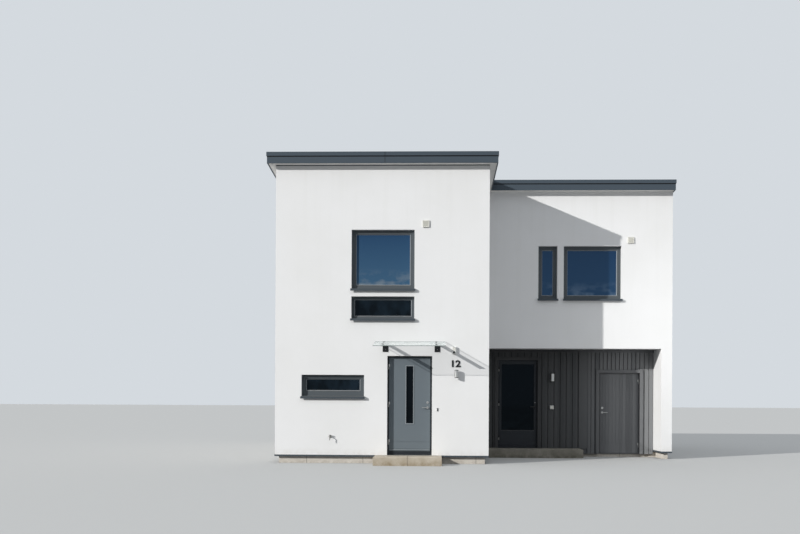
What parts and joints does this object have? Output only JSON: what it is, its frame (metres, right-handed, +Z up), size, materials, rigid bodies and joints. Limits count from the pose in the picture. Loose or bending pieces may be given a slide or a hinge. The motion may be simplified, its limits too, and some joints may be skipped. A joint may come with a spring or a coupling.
{
  "type": "linked row house",
  "caption": "Linked row house: a tall white rendered block and a set-back wing over a black timber porch, with dark windows, doors that open and a glass canopy.",
  "frame": {"origin": "On the lowest ground, in the middle of the house's width and depth between its outer wall faces.", "axes": "+X along the front to the viewer's right, -Y to the street, +Z up."},
  "size_m": [9.049, 9.5971, 6.5126],
  "materials": {
    "white_render": "matte",
    "plinth_concrete": "matte",
    "step_concrete": "matte",
    "floor_timber": "satin",
    "black_cladding": "matte",
    "pale_board": "matte",
    "roof_felt": "matte",
    "dark_metal": "satin",
    "black_metal": "satin",
    "frame_metal": "satin",
    "window_glass": "gloss",
    "canopy_glass": "gloss",
    "grey_door": "satin",
    "bright_steel": "satin",
    "white_plastic": "matte"
  },
  "bodies": {
    "house": {"foundation_slab": "plinth_concrete", "base_drip_flashing": "dark_metal", "main_upper_floor": "floor_timber", "wing_upper_floor": "floor_timber", "front_wall_lower_left": "white_render", "front_wall_lower_right": "white_render", "front_wall_upper": "white_render", "left_party_wall": "white_render", "right_return_wall": "white_render", "right_party_wall": "white_render", "wing_upper_wall": "white_render", "porch_wall_panels": "black_cladding", "porch_wall_heads": "black_cladding", "porch_soffit": "pale_board", "main_back_wall": "white_render", "wing_back_wall": "white_render", "main_roof": "roof_felt", "wing_roof": "roof_felt", "eaves_soffit": "pale_board", "roof_fascia": "dark_metal", "roof_edge_trim": "dark_metal", "rear_gutter": "dark_metal", "downpipes": "dark_metal", "front_window_frames": "frame_metal", "front_window_glass": "window_glass", "wing_window_frames": "frame_metal", "wing_window_glass": "window_glass", "back_window_frames": "frame_metal", "back_window_glass": "window_glass", "front_window_sills": "dark_metal", "back_window_sills": "dark_metal", "front_door_frame": "frame_metal", "glazed_door_frame": "frame_metal", "store_door_frame": "frame_metal", "door_hinges": "bright_steel", "porch_trim": "black_cladding", "front_step": "step_concrete", "porch_step": "step_concrete", "canopy_glass": "canopy_glass", "canopy_brackets": "black_metal", "wall_lamps": "bright_steel", "wall_vents": "white_plastic", "wall_boxes": "white_plastic", "garden_tap": "bright_steel"},
    "front_door": {"front_door_leaf": "grey_door", "front_door_glass": "window_glass", "front_door_fittings": "bright_steel"},
    "front_door_handle": {"front_door_lever": "bright_steel"},
    "glazed_door": {"glazed_door_leaf": "frame_metal", "glazed_door_glass": "window_glass", "glazed_door_fittings": "bright_steel"},
    "glazed_door_handle": {"glazed_door_lever": "bright_steel"},
    "store_door": {"store_door_leaf": "black_cladding", "store_door_fittings": "bright_steel"},
    "store_door_handle": {"store_door_lever": "bright_steel"}
  },
  "joints": [
    {"name": "front_door_hinge", "type": "hinge", "parent": "house", "child": "front_door", "pos_m": [-2.0185, -4.11, 1.245], "axis": [0, 0, -1], "range_deg": [0, 90]},
    {"name": "front_door_lever_turn", "type": "hinge", "parent": "front_door", "child": "front_door_handle", "pos_m": [-1.203, -4.1, 1.18], "axis": [0, -1, 0], "range_deg": [0, 40], "stiffness_Nm_per_rad": 2, "springref_deg": -17.19},
    {"name": "glazed_door_hinge", "type": "hinge", "parent": "house", "child": "glazed_door", "pos_m": [0.4975, -1.435, 1.2665], "axis": [0, 0, -1], "range_deg": [0, 90]},
    {"name": "glazed_door_lever_turn", "type": "hinge", "parent": "glazed_door", "child": "glazed_door_handle", "pos_m": [1.358, -1.425, 1.18], "axis": [0, -1, 0], "range_deg": [0, 40], "stiffness_Nm_per_rad": 2, "springref_deg": -17.19},
    {"name": "store_door_hinge", "type": "hinge", "parent": "house", "child": "store_door", "pos_m": [3.8195, -1.435, 1.037], "axis": [0, 0, 1], "range_deg": [0, 90]},
    {"name": "store_door_lever_turn", "type": "hinge", "parent": "store_door", "child": "store_door_handle", "pos_m": [2.963, -1.425, 1.06], "axis": [0, 1, 0], "range_deg": [0, 40], "stiffness_Nm_per_rad": 2, "springref_deg": -17.19}
  ]
}
